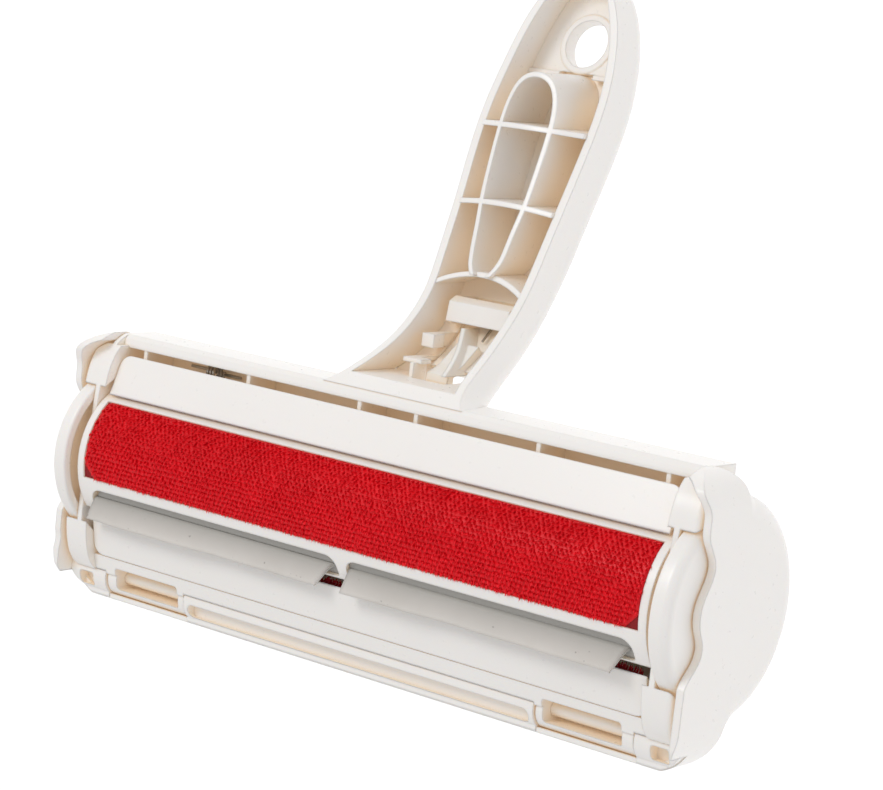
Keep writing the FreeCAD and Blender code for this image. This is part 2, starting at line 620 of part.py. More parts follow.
def button_wall():
    # The curved wall on the inner side of the thumb pad.
    centre = [(-3.1, 44.6), (-2.3, 43.4), (-0.8, 41.4), (1.6, 37.7), (3.2, 34.6)]
    left = in_xy([(x - 0.6, y) for x, y in centre], -60)
    right = in_xy([(x + 0.6, y) for x, y in centre], -60)
    edges = [spline(left), line(left[-1], right[-1]), spline(right[::-1]), line(right[0], left[0])]
    wall = Part.Face(Part.Wire(edges)).extrude(V(0, 0, 80))
    low = [(y + 1.0, z + 1.0) for y, z in PAD_LOW]
    return wall.common(side_block([(32.0, -16.5)] + low + [(53, -37)], shifted(RIM[1:6], -8.5)))


def release_button():
    pad = pad_solid(PAD_LOW, PAD_T, PAD_W)
    hook = prism_x([(36.4, -15.6), (41.2, -21.6), (39.6, -23.2), (35.4, -17.4), (34.2, -13.2), (33.0, -13.1),
                    (NOSE_Y, -13.0), (NOSE_Y, -11.2), (33.0, -10.9), (34.6, -11.2)], -3.2, 3.2)
    collar = rod_x(2.2, -PAD_W, PAD_W, PIN_Y, PIN_Z)
    neck = prism_x([(46.2, -30.8), (46.4, -27.6), (49.6, -27.6), (49.8, -32.6)], -PAD_W, PAD_W)
    body = pad.fuse([hook, collar, neck, button_wall()])
    body = body.cut(rod_x(2.9, -2.6, 2.6, PIN_Y, PIN_Z))
    return body.cut(rod_x(PIN_R + RUN, -20, 20, PIN_Y, PIN_Z)).cut(button_grip())


def button_grip():
    return pad_solid([(36.2, -22.6), (38.0, -25.0), (43.0, -30.4), (46.4, -33.2)], GRIP_T, 5.2)


def button_pin():
    return rod_x(PIN_R, -9.1, 9.1, PIN_Y, PIN_Z)


# ---------------------------------------------------------------- springs
def coil(mean_r, wire_r, pitch, turns, x0, y, z, start=0):
    # A close-wound coil along X. It starts start degrees round from its lowest point.
    helix = Part.makeHelix(pitch, pitch * turns, mean_r)
    section = Part.Wire([Part.Circle(V(mean_r, 0, 0), V(0, 1, 0), wire_r).toShape()])
    body = Part.Wire(helix.Edges).makePipeShell([section], True, True)
    body.rotate(V(0, 0, 0), V(0, 1, 0), 90)
    body.rotate(V(0, 0, 0), V(1, 0, 0), start)
    body.translate(V(x0, y, z))
    return body


def lid_kick_spring():
    # Torsion spring in the rail's slot; its legs run along the slot.
    y, z, wire, mean = 24.95, -0.2, 0.4, 1.75
    x0, pitch, turns = -61.4, 0.95, 3.0
    body = coil(mean, wire, pitch, turns, x0, y, z)
    x1 = x0 + pitch * turns
    leg = Part.makeCylinder(wire, 8.5, V(x0 + wire, y + wire / 2, z - mean), V(-1, 0, 0))
    tail = Part.makeCylinder(wire, 6.0, V(x1 - wire, y - wire / 2, z - mean), V(1, 0, 0))
    knees = [Part.makeSphere(wire * 1.3, V(x, y, z - mean)) for x in (x0, x1)]
    return body.fuse([leg, tail] + knees)


def button_spring():
    # Torsion spring around the button's pin; its leg lies along the button's floor.
    wire, mean, pitch, turns = 0.3, 1.9, 0.75, 5.0
    x0 = -pitch * turns / 2
    along = (-0.68, 0.73)
    root = V(x0, PIN_Y - mean * along[1], PIN_Z + mean * along[0])
    body = coil(mean, wire, pitch, turns, x0, PIN_Y, PIN_Z, -math.degrees(math.asin(along[1])))
    leg = Part.makeCylinder(wire, 6.5, root, V(0, *along))
    knee = Part.makeSphere(wire * 1.2, root)
    return other_side(body.fuse([leg, knee]))


def write_all():
    right_disc = end_disc()
    right_rod = hinge_rod()
    pieces = {
        "handle_frame": handle_frame(),
        "upper_lip_plate": lip_plate(UPPER_LIP, LIP_HALF),
        "lower_lip_plate": lip_plate(LOWER_LIP, LIP_HALF),
        "upper_wiper_pile": wiper_pile(UPPER_LIP, 58.5, 69.0),
        "lower_wiper_pile": wiper_pile(LOWER_LIP, -62.0, -53.5),
        "button_pin": button_pin(),
        "lid_kick_spring": lid_kick_spring(),
        "button_spring": button_spring(),
        "roller_drum": drum(),
        "velvet_backing": velvet(BACKING_R, 0.1),
        "velvet_pad": velvet(PILE_R, 0.1),
        "blade_lower_left": blade(-1, -1),
        "blade_lower_right": blade(1, -1),
        "blade_upper_left": blade(-1, 1),
        "blade_upper_right": blade(1, 1),
        "end_disc_left": other_side(right_disc),
        "end_disc_right": right_disc,
        "lid_shell": lid(),
        "hinge_rod_left": other_side(right_rod),
        "hinge_rod_right": right_rod,
        "release_button": release_button(),
        "button_grip_pad": button_grip(),
    }
    for name, shape in pieces.items():
        save(shape, name)


write_all()
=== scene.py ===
import json
import math

import bpy
import numpy as np
from mathutils import Matrix, Vector


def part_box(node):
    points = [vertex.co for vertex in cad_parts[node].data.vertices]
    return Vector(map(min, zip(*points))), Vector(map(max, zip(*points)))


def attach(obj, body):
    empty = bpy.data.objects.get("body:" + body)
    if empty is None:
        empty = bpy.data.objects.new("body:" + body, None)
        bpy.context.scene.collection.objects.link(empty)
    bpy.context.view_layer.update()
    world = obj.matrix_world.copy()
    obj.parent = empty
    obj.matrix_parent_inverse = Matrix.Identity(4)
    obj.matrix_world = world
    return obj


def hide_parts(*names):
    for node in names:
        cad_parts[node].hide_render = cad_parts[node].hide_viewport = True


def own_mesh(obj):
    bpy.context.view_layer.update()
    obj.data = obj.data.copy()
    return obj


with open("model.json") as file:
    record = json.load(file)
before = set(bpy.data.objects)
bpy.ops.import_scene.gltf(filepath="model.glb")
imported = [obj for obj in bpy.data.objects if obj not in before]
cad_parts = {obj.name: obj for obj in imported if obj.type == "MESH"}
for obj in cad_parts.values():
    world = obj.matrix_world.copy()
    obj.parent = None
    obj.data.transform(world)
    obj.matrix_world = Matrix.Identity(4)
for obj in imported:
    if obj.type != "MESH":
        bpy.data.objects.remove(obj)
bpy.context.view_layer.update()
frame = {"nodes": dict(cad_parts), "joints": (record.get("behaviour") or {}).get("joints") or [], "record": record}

# Two-way pet-hair lint roller. Lengths in this file are millimetres from the middle of the
# roller's axis, +Y towards the handle, +Z out of the working face; P() turns them into the row frame.
MM = 0.001
AXIS = Vector([j for j in frame["joints"] if j["name"] == "roller_turn"][0]["pos_m"])
RNG = np.random.default_rng(7)


def P(x, y, z):
    return Vector((x * MM + AXIS.x, y * MM + AXIS.y, z * MM + AXIS.z))


def rows_to_frame(points):
    return np.asarray(points, float) * MM + np.array(AXIS)


def polar(radius, degrees):
    # (y, z) of a point in the roller's cross-section, its angle counted from +Z towards +Y.
    a = math.radians(degrees)
    return radius * math.sin(a), radius * math.cos(a)


# ------------------------------------------------------------------ materials
def srgb(r, g, b, a=1.0):
    def lin(c):
        c /= 255.0
        return c / 12.92 if c <= 0.04045 else ((c + 0.055) / 1.055) ** 2.4
    return (lin(r), lin(g), lin(b), a)


class Nodes:
    """Builds a node tree with short calls."""

    def __init__(self, name):
        self.material = bpy.data.materials.new(name)
        self.material.use_nodes = True
        self.tree = self.material.node_tree
        self.tree.nodes.clear()

    def add(self, kind, **values):
        node = self.tree.nodes.new(kind)
        for key, value in values.items():
            if key.startswith("in_"):
                slot = key[3:]
                slot = int(slot) if slot.isdigit() else slot.replace("_", " ")
                if isinstance(value, bpy.types.NodeSocket):
                    self.tree.links.new(value, node.inputs[slot])
                else:
                    node.inputs[slot].default_value = value
            else:
                setattr(node, key, value)
        return node

    def noise(self, vector, scale, detail=2.0, rough=0.5):
        return self.add("ShaderNodeTexNoise", in_Vector=vector, in_Scale=scale, in_Detail=detail,
                        in_Roughness=rough).outputs["Fac"]

    def spread(self, value, low, high, out_low=0.0, out_high=1.0):
        return self.add("ShaderNodeMapRange", in_0=value, in_1=low, in_2=high, in_3=out_low,
                        in_4=out_high).outputs[0]

    def mix(self, factor, a, b, mode="MIX"):
        node = self.add("ShaderNodeMix", data_type="RGBA", blend_type=mode)
        for socket, value in ((node.inputs[0], factor), (node.inputs[6], a), (node.inputs[7], b)):
            if isinstance(value, bpy.types.NodeSocket):
                self.tree.links.new(value, socket)
            else:
                socket.default_value = value
        return node.outputs[2]

    def maths(self, operation, a, b):
        node = self.add("ShaderNodeMath", operation=operation)
        for socket, value in ((node.inputs[0], a), (node.inputs[1], b)):
            if isinstance(value, bpy.types.NodeSocket):
                self.tree.links.new(value, socket)
            else:
                socket.default_value = value
        return node.outputs[0]

    def place(self):
        return self.add("ShaderNodeTexCoord").outputs["Object"]

    def finish(self, shader):
        out = self.add("ShaderNodeOutputMaterial")
        self.tree.links.new(shader.outputs[0], out.inputs["Surface"])
        return self.material


def plastic(name, tint, roughness=0.3, edge=0.6):
    # Moulded ABS: softened edges, faint orange peel, fine scuffs, and painted shade: a warm beige tint in the
    # hollows.
    n = Nodes(name)
    where = n.place()
    soft = n.add("ShaderNodeBevel", samples=6, in_Radius=edge * MM).outputs[0]
    peel = n.noise(where, 420.0, 2.0, 0.45)
    fine = n.noise(where, 2600.0, 2.0, 0.6)
    height = n.maths("ADD", n.maths("MULTIPLY", peel, 0.7), n.maths("MULTIPLY", fine, 0.3))
    bump = n.add("ShaderNodeBump", in_Strength=0.10, in_Distance=0.0002, in_Height=height, in_Normal=soft)
    # Painted shade: ambient occlusion finds the hollows and the colour is tinted warm beige there.
    painted_shade_ao = n.add("ShaderNodeAmbientOcclusion", samples=4, only_local=False, in_Distance=0.011)
    shade = n.spread(painted_shade_ao.outputs["AO"], 0.05, 0.72)
    cloud = n.spread(n.noise(where, 26.0, 3.0, 0.55), 0.35, 0.65)
    pale = n.mix(cloud, tint, tuple(c * 0.985 for c in tint[:3]) + (1.0,))
    colour = n.mix(shade, srgb(250, 231, 205), pale)
    scuff = n.noise(where, 650.0, 4.0, 0.55)
    rough = n.spread(scuff, 0.3, 0.75, roughness - 0.03, roughness + 0.05)
    body = n.add("ShaderNodeBsdfPrincipled", in_Base_Color=colour, in_Roughness=rough, in_IOR=1.5,
                 in_Normal=bump.outputs[0])
    # Painted light: a faint emission in the hollows stands in for bounced light and for light that seeps through
    # the thin walls.
    painted_hollow_glow = n.maths("MULTIPLY", n.maths("SUBTRACT", 1.0, shade), 0.05)
    n.tree.links.new(painted_hollow_glow, body.inputs["Emission Strength"])
    body.inputs["Emission Color"].default_value = srgb(255, 232, 204)
    body.inputs["Subsurface Weight"].default_value = 0.12
    body.inputs["Subsurface Radius"].default_value = (1.0, 0.75, 0.5)
    body.inputs["Subsurface Scale"].default_value = 0.0012
    return n.finish(body)


def pile_material(name, deep, bright, shine):
    # Cut pile: painted shade darkens it at the root, brighter at the tip, each fibre a little different.
    n = Nodes(name)
    where = n.place()
    along = n.add("ShaderNodeAttribute", attribute_name="along").outputs["Fac"]
    own = n.add("ShaderNodeAttribute", attribute_name="own").outputs["Fac"]
    patch = n.spread(n.noise(where, 140.0, 3.0, 0.6), 0.3, 0.7)
    # Painted shade: the attribute along makes each fibre darker towards its root.
    level = n.maths("ADD", n.maths("MULTIPLY", along, 0.62), n.maths("MULTIPLY", own, 0.30))
    level = n.maths("ADD", level, n.maths("MULTIPLY", patch, 0.18))
    colour = n.mix(level, deep, bright)
    streak = n.noise(where, 5200.0, 2.0, 0.6)
    bump = n.add("ShaderNodeBump", in_Strength=0.35, in_Distance=0.0001, in_Height=streak)
    body = n.add("ShaderNodeBsdfPrincipled", in_Base_Color=colour, in_Normal=bump.outputs[0],
                 in_Roughness=n.spread(own, 0, 1, 0.26, 0.45))
    body.inputs["Specular IOR Level"].default_value = shine
    body.inputs["Specular Tint"].default_value = (1.0, 0.32, 0.34, 1.0)
    # A faint emission stands in for the light that thin fibres let through.
    n.tree.links.new(colour, body.inputs["Emission Color"])
    body.inputs["Emission Strength"].default_value = 0.13
    return n.finish(body)


def rubber_material():
    # Matt grey elastomer with painted shade darkening it towards the root, a faint mottling and dust specks.
    n = Nodes("blade_rubber")
    where = n.place()
    cloud = n.spread(n.noise(where, 60.0, 4.0, 0.6), 0.3, 0.7)
    along = n.add("ShaderNodeAttribute", attribute_name="along").outputs["Fac"]
    tip = n.mix(cloud, srgb(216, 211, 206), srgb(207, 202, 196))
    # Painted shade: the root end of each flap is darker.
    colour = n.mix(along, srgb(160, 158, 153), tip)
    speck = n.spread(n.noise(where, 900.0, 1.0, 0.5), 0.74, 0.80)
    colour = n.mix(n.maths("MULTIPLY", speck, 0.5), colour, srgb(120, 112, 108))
    grain = n.noise(where, 1800.0, 3.0, 0.6)
    soft = n.add("ShaderNodeBevel", samples=4, in_Radius=0.00025).outputs[0]
    bump = n.add("ShaderNodeBump", in_Strength=0.12, in_Distance=0.0001, in_Height=grain, in_Normal=soft)
    body = n.add("ShaderNodeBsdfPrincipled", in_Base_Color=colour, in_Roughness=0.5,
                 in_Normal=bump.outputs[0])
    body.inputs["Subsurface Weight"].default_value = 0.18
    body.inputs["Subsurface Radius"].default_value = (1.0, 0.85, 0.75)
    body.inputs["Subsurface Scale"].default_value = 0.0015
    return n.finish(body)


def woven_material():
    # Plain weave of the pad's carrier.
    n = Nodes("pad_backing")
    where = n.place()
    warp = n.add("ShaderNodeTexWave", in_Vector=where, in_Scale=900.0, in_Distortion=1.0,
                 bands_direction="X")
    weft = n.add("ShaderNodeTexWave", in_Vector=where, in_Scale=900.0, in_Distortion=1.0,
                 bands_direction="Y")
    height = n.maths("MAXIMUM", warp.outputs["Fac"], weft.outputs["Fac"])
    colour = n.mix(height, srgb(90, 4, 10), srgb(150, 12, 20))
    bump = n.add("ShaderNodeBump", in_Strength=0.5, in_Distance=0.0001, in_Height=height)
    return n.finish(n.add("ShaderNodeBsdfPrincipled", in_Base_Color=colour, in_Roughness=0.8,
                          in_Normal=bump.outputs[0]))


def steel_material():
    # Drawn spring wire.
    n = Nodes("spring_steel")
    where = n.place()
    drawn = n.noise(where, 3000.0, 3.0, 0.6)
    colour = n.mix(drawn, srgb(150, 146, 140), srgb(196, 194, 190))
    bump = n.add("ShaderNodeBump", in_Strength=0.2, in_Distance=0.00005, in_Height=drawn)
    return n.finish(n.add("ShaderNodeBsdfPrincipled", in_Base_Color=colour, in_Metallic=1.0,
                          in_Roughness=n.spread(drawn, 0, 1, 0.22, 0.42), in_Normal=bump.outputs[0]))


def floor_material():
    n = Nodes("floor")
    where = n.place()
    grain = n.spread(n.noise(where, 4.0, 2.0, 0.5), 0.3, 0.7)
    colour = n.mix(grain, (0.93, 0.93, 0.93, 1.0), (0.95, 0.95, 0.95, 1.0))
    body = n.add("ShaderNodeBsdfPrincipled", in_Base_Color=colour, in_Roughness=0.9)
    body.inputs["Emission Color"].default_value = (1.0, 1.0, 1.0, 1.0)
    body.inputs["Emission Strength"].default_value = 0.35
    return n.finish(body)


WHITE = plastic("body_white", srgb(243, 240, 237))
BUTTON = plastic("button_white", srgb(240, 238, 234), roughness=0.34)
GRIP = plastic("grip_soft", srgb(224, 221, 216), roughness=0.6, edge=0.2)
VELVET = pile_material("velvet_red", srgb(190, 0, 10), srgb(255, 34, 48), 0.8)
WIPER = pile_material("wiper_red", srgb(60, 4, 8), srgb(128, 14, 22), 0.3)
RUBBER = rubber_material()
WEAVE = woven_material()
STEEL = steel_material()
BY_SLOT = {"body_white": WHITE, "button_white": BUTTON, "velvet_red": VELVET, "pad_backing": WEAVE,
           "wiper_pile": WIPER, "blade_grey": RUBBER, "steel": STEEL, "grip_soft": GRIP}


# ------------------------------------------------------------------ mesh building
def make_piece(name, points, faces, material):
    mesh = bpy.data.meshes.new(name)
    mesh.from_pydata([tuple(p) for p in rows_to_frame(points)], [], faces)
    mesh.update()
    mesh.materials.append(material)
    mesh.polygons.foreach_set("use_smooth", [True] * len(mesh.polygons))
    piece = bpy.data.objects.new(name, mesh)
    bpy.context.scene.collection.objects.link(piece)
    return piece


def set_attribute(piece, name, values):
    layer = piece.data.attributes.new(name, "FLOAT", "POINT")
    layer.data.foreach_set("value", np.asarray(values, np.float32))


def sheet_grid(rows, columns, offset=0):
    # Quads of a grid whose points run along a row first.
    return [(offset + r * columns + c, offset + r * columns + c + 1,
             offset + (r + 1) * columns + c + 1, offset + (r + 1) * columns + c)
            for r in range(rows - 1) for c in range(columns - 1)]


def closed_slab(top, bottom, rows, columns):
    # Joins two grids of the same size into a closed slab.
    count = rows * columns
    faces = sheet_grid(rows, columns)
    faces += [tuple(reversed(f)) for f in sheet_grid(rows, columns, count)]
    rim = list(range(columns))
    rim += [r * columns + columns - 1 for r in range(1, rows)]
    rim += [(rows - 1) * columns + c for c in range(columns - 2, -1, -1)]
    rim += [r * columns for r in range(rows - 2, 0, -1)]
    for a, b in zip(rim, rim[1:] + rim[:1]):
        faces.append((b, a, a + count, b + count))
    return np.vstack([top, bottom]), faces


FIBRE_LEAN = 0.35                    # how far a fibre leans over its length, as a share of the length
FIBRE_BEND = 1.3                     # sideways bend for each unit of curl
FIBRE_STATIONS = ((0.0, 1.0), (0.45, 0.95), (0.8, 0.62))     # place along the fibre, width there


def fibre(root, up, lean, across, length, width, curl):
    # A curved, tapering three-sided fibre: returns 10 points; FIBRE_FACES joins them.
    points = []
    for t, w in FIBRE_STATIONS:
        sideways = FIBRE_LEAN * t + curl * FIBRE_BEND * t * t
        centre = root + up * (length * (t - curl * t * t)) + lean * (length * sideways)
        corner = centre - across * (w * width * 0.6)
        points += [centre + across * (w * width), corner + lean * (w * width * 0.8),
                   corner - lean * (w * width * 0.8)]
    points.append(root + up * (length * (1 - curl)) + lean * (length * (FIBRE_LEAN + curl * FIBRE_BEND)))
    return points


FIBRE_FACES = [(3 * k + a, 3 * k + b, 3 * k + 3 + b, 3 * k + 3 + a)
               for k in range(2) for a, b in ((0, 1), (1, 2), (2, 0))]
FIBRE_FACES += [(6, 7, 9), (7, 8, 9), (8, 6, 9), (2, 1, 0)]
FIBRE_ALONG = [t for t, w in FIBRE_STATIONS for corner in range(3)] + [1.0]


class Pile:
    """Collects fibres and a backing into one mesh."""

    def __init__(self, points, faces, shade):
        self.points = [Vector(p) for p in points]
        self.faces = list(faces)
        # Painted shade: the backing takes a low root value, so it is painted as dark as the fibres' roots.
        self.along = [shade] * len(self.points)
        self.own = [0.3] * len(self.points)

    def add(self, fibre_points, own):
        k = len(self.points)
        self.points += fibre_points
        self.faces += [tuple(k + i for i in f) for f in FIBRE_FACES]
        self.along += FIBRE_ALONG
        self.own += [own] * len(fibre_points)

    def build(self, name, material):
        piece = make_piece(name, self.points, self.faces, material)
        set_attribute(piece, "along", self.along)
        set_attribute(piece, "own", self.own)
        return piece


# ------------------------------------------------------------------ velvet pad
PAD_LOW, PAD_HIGH = -13.0, 49.6      # the pad's edges, degrees from +Z towards +Y
PAD_HALF = 83.0
PAD_BASE_R = 18.62
TUFT_PITCH_X = 1.3
TUFT_PITCH_ARC = 1.1
TUFT_SLIP = 0.37                     # sideways step from row to row, in pitches: the diagonal lattice
HANG = 3.0                           # the pile leans down over the last degrees of the carrier
TUFT_FIBRES = 7
TUFT_SPREAD = (0.23, 0.17)           # scatter of a tuft's fibres along X and along the arc
SIDE_LEAN = (0.3, 0.16)              # mean and scatter of the lean along X
FIBRE_LENGTH = (1.15, 1.4)
FIBRE_WIDTH = (0.13, 0.19)
FIBRE_CURL = (0.2, 0.3)
PAD_CUT = 3.3                        # the cut-off lower corners
PAD_EASE = 1.0                       # the eased upper corners


def pad_half(degrees):
    # Half length of the pad at an angle: the lower corners are cut off, the upper ones eased.
    low = (degrees - PAD_LOW) * math.radians(1) * PAD_BASE_R
    high = (PAD_HIGH - degrees) * math.radians(1) * PAD_BASE_R
    return PAD_HALF - max(0.0, PAD_CUT - low) - max(0.0, PAD_EASE - high) ** 2


def on_roller(x, radius, degrees):
    y, z = polar(radius, degrees)
    return (x, y, z)


def velvet():
    # A thin carrier with rows of tufts; the pile leans towards the lower edge.
    rows, columns = 26, 140
    top, bottom = [], []
    for r in range(rows):
        degrees = PAD_LOW + 0.3 + (PAD_HIGH - PAD_LOW - 0.6) * r / (rows - 1)
        half = pad_half(degrees) - 0.15
        for c in range(columns):
            x = half * (2 * c / (columns - 1) - 1)
            top.append(on_roller(x, PAD_BASE_R + 0.12 * RNG.random(), degrees))
            bottom.append(on_roller(x, PAD_BASE_R - 0.06, degrees))
    points, faces = closed_slab(np.array(top), np.array(bottom), rows, columns)
    pile = Pile(points, faces, 0.12)
    arc = math.radians(PAD_HIGH - PAD_LOW) * PAD_BASE_R
    for row in range(int(arc / TUFT_PITCH_ARC) + 1):
        count = int(2 * PAD_HALF / TUFT_PITCH_X) + 2
        for column in range(count):
            s = row * TUFT_PITCH_ARC + RNG.normal(0, 0.05)
            x = -PAD_HALF + ((column + TUFT_SLIP * row) % count) * TUFT_PITCH_X + RNG.normal(0, 0.06)
            degrees = PAD_LOW + HANG + math.degrees(s / PAD_BASE_R)
            if degrees > PAD_HIGH - 0.4 or abs(x) > pad_half(degrees - HANG) - 0.3:
                continue
            own = 0.25 + 0.5 * RNG.random()
            for k in range(TUFT_FIBRES):
                dx, ds = RNG.normal(0, TUFT_SPREAD[0]), RNG.normal(0, TUFT_SPREAD[1])
                a = degrees + math.degrees(ds / PAD_BASE_R)
                up = Vector((0, *polar(1, a)))
                tangent = Vector((0, *polar(1, a - 90)))
                lean = (tangent + Vector((RNG.normal(*SIDE_LEAN), 0, 0))).normalized()
                across = up.cross(lean).normalized()
                root = Vector(on_roller(x + dx, PAD_BASE_R - 0.05, a))
                length = RNG.uniform(*FIBRE_LENGTH)
                width, curl = RNG.uniform(*FIBRE_WIDTH), RNG.uniform(*FIBRE_CURL)
                # Painted shade: fibres farther from a tuft's centre are darker; the rest is a random tone for each
                # tuft and fibre.
                shade = own + RNG.normal(0, 0.12) - 0.5 * abs(dx)
                pile.add(fibre(root, up, lean, across, length, width, curl), min(1.0, max(0.0, shade)))
    piece = pile.build("velvet_pile", VELVET)
    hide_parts("velvet_pad")
    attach(piece, "roller")


# ------------------------------------------------------------------ rubber blades
def thick_strip(stations):
    # stations: for each X, a closed loop of (y, z). Returns points and faces with end caps.
    points, faces = [], []
    loop = len(stations[0][1])
    for xs, outline in stations:
        for i, (y, z) in enumerate(outline):
            points.append((xs[i], y, z))
    for s in range(len(stations) - 1):
        for i in range(loop):
            j = (i + 1) % loop
            faces.append((s * loop + i, s * loop + j, (s + 1) * loop + j, (s + 1) * loop + i))
    half = loop // 2
    for base, flip in ((0, False), ((len(stations) - 1) * loop, True)):
        for i in range(half - 1):
            f = (base + i, base + i + 1, base + loop - 2 - i, base + loop - 1 - i)
            faces.append(f if not flip else tuple(reversed(f)))
    return points, faces


def offset_loop(centre, thickness):
    # A closed loop round a centre line, thickness thick, thinning a little at its far end.
    left, right = [], []
    for i, (y, z) in enumerate(centre):
        a = centre[max(0, i - 1)]
        b = centre[min(len(centre) - 1, i + 1)]
        dy, dz = b[0] - a[0], b[1] - a[1]
        length = math.hypot(dy, dz)
        h = thickness / 2 * (1 - 0.35 * i / (len(centre) - 1))
        left.append((y - h * dz / length, z + h * dy / length))
        right.append((y + h * dz / length, z - h * dy / length))
    return left + right[::-1]


def curve_through(knots, count):
    # Points along a smooth curve through the knots (Catmull-Rom).
    knots = np.array(knots, float)
    padded = np.vstack([2 * knots[0] - knots[1], knots, 2 * knots[-1] - knots[-2]])
    out = []
    for t in np.linspace(0, len(knots) - 1, count):
        k = min(int(t), len(knots) - 2)
        u = t - k
        p0, p1, p2, p3 = padded[k:k + 4]
        out.append(0.5 * (2 * p1 + (p2 - p0) * u + (2 * p0 - 5 * p1 + 4 * p2 - p3) * u * u
                          + (3 * p1 - p0 - 3 * p2 + p3) * u ** 3))
    return out


LOWER_BED, UPPER_BED = (-21.9, -38.3), (58.4, 74.8)      # edges of the beds, degrees
BED_TOP_R, BED_BOTTOM_R = 18.25, 17.0
BED_IN, BED_OUT = 1.7, 80.9          # ends of a bed along X
BED_SMALL, BED_LARGE = 1.4, 4.0      # rounding of its inner and outer ends
BED_DIP = 0.25


def rounding(t, reach):
    # Share of a corner's rounding that is left at t, for a corner that reaches as far as reach.
    return 1 - math.sqrt(max(0.0, 1 - (1 - min(1.0, t / reach)) ** 2))


def blade_foot(side, row):
    # The rubber bed that fills the slot of the drum, a little below the drum's skin.
    near, far = LOWER_BED if row < 0 else UPPER_BED
    rows, columns = 9, 90
    top, bottom = [], []
    for r in range(rows):
        t = r / (rows - 1)
        degrees = near + (far - near) * t
        for c in range(columns):
            u = c / (columns - 1)
            # The corners next to the velvet are rounded: largely at the outer end, a little inside.
            outer = BED_OUT - BED_LARGE * rounding(t, 0.75)
            inner = BED_IN + BED_SMALL * rounding(t, 0.3)
            x = side * (inner + (outer - inner) * u)
            dip = BED_DIP * math.sin(math.pi * min(1.0, t / 0.8))
            top.append(on_roller(x, BED_TOP_R - dip, degrees))
            bottom.append(on_roller(x, BED_BOTTOM_R, degrees))
    return closed_slab(np.array(top), np.array(bottom), rows, columns)


FLAP_T = 0.75                        # thickness of a flap at its root
FOOT_SHADE = 0.1                     # painted shade: the bed is nearly as dark as the flap's root
FLAP_STATIONS = 70                   # cross-sections along a flap
CURL_FROM = 0.72                     # a flap's end curls up from this share of its length


def flap_lift(u, v, side, curl):
    # How far a flap waves and curls up at u along its length and v from root to tip.
    wave = 0.22 * math.sin(u * 9.0 + side) + 0.12 * math.sin(u * 23.0 + 2 * side)
    return v * v * (wave + curl * max(0.0, u - CURL_FROM) ** 2 * 12)


def blade(side, row, name, knots, root_x, tip_x, curl):
    # One rubber blade: a flap and the bed it grows from.
    centre = curve_through(knots, 13)
    n = len(centre)
    ramp = [i / (n - 1) for i in range(n)]
    around = ramp + ramp[::-1]
    stations = []
    for s in range(FLAP_STATIONS):
        u = s / (FLAP_STATIONS - 1)
        lifts = [flap_lift(u, v, side, curl) for v in ramp]
        outline = offset_loop([(y - 0.25 * lift, z + lift) for (y, z), lift in zip(centre, lifts)], FLAP_T)
        xs = []
        for v in around:
            x0 = root_x[0] + (tip_x[0] - root_x[0]) * v ** 1.1
            x1 = root_x[1] + (tip_x[1] - root_x[1]) * v ** 1.1
            xs.append(x0 + (x1 - x0) * u)
        stations.append((xs, outline))
    points, faces = thick_strip(stations)
    foot_points, foot_faces = blade_foot(side, row)
    k = len(points)
    faces += [tuple(k + i for i in f) for f in foot_faces]
    piece = make_piece(name, points + [tuple(p) for p in foot_points], faces, RUBBER)
    set_attribute(piece, "along", around * FLAP_STATIONS + [FOOT_SHADE] * len(foot_points))
    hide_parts("blade_%s_%s" % ("lower" if row < 0 else "upper", "left" if side < 0 else "right"))
    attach(piece, "roller")
    return piece


LOWER_FLAP = [(-8.9, 15.5), (-9.6, 16.1), (-11.0, 16.6), (-12.8, 17.1), (-14.6, 17.5)]
# The upper flaps lie folded against the drum: (radius, degrees) from root to tip.
UPPER_FLAP_R = [(17.6, 60.0), (18.35, 61.2), (18.75, 63.5), (18.85, 67.5), (18.9, 71.5)]


def blades():
    for side, label in ((-1, "left"), (1, "right")):
        root = (-80.6, -2.4) if side < 0 else (2.2, 80.2)
        tip = (-82.0, -6.6) if side < 0 else (1.2, 77.0)
        curl = 0.8 if side > 0 else -0.3
        piece = blade(side, -1, "rubber_blade_lower_" + label, LOWER_FLAP, root, tip, curl)
        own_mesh(piece)
        centre = [polar(r, a) for r, a in UPPER_FLAP_R]
        flat = (-80.2, -2.6) if side < 0 else (2.6, 80.2)
        blade(side, 1, "rubber_blade_upper_" + label, centre, flat, flat, 0.0)


# ------------------------------------------------------------------ wiper piles
WIPER_HALF = 82.0                    # half length of the carrier
WIPER_PILE_HALF = 81.6               # half length of its pile
WIPER_CARRIER_T = 0.12
WIPER_ROWS, WIPER_COLUMNS = 4, 230   # fibres across and along a wiper


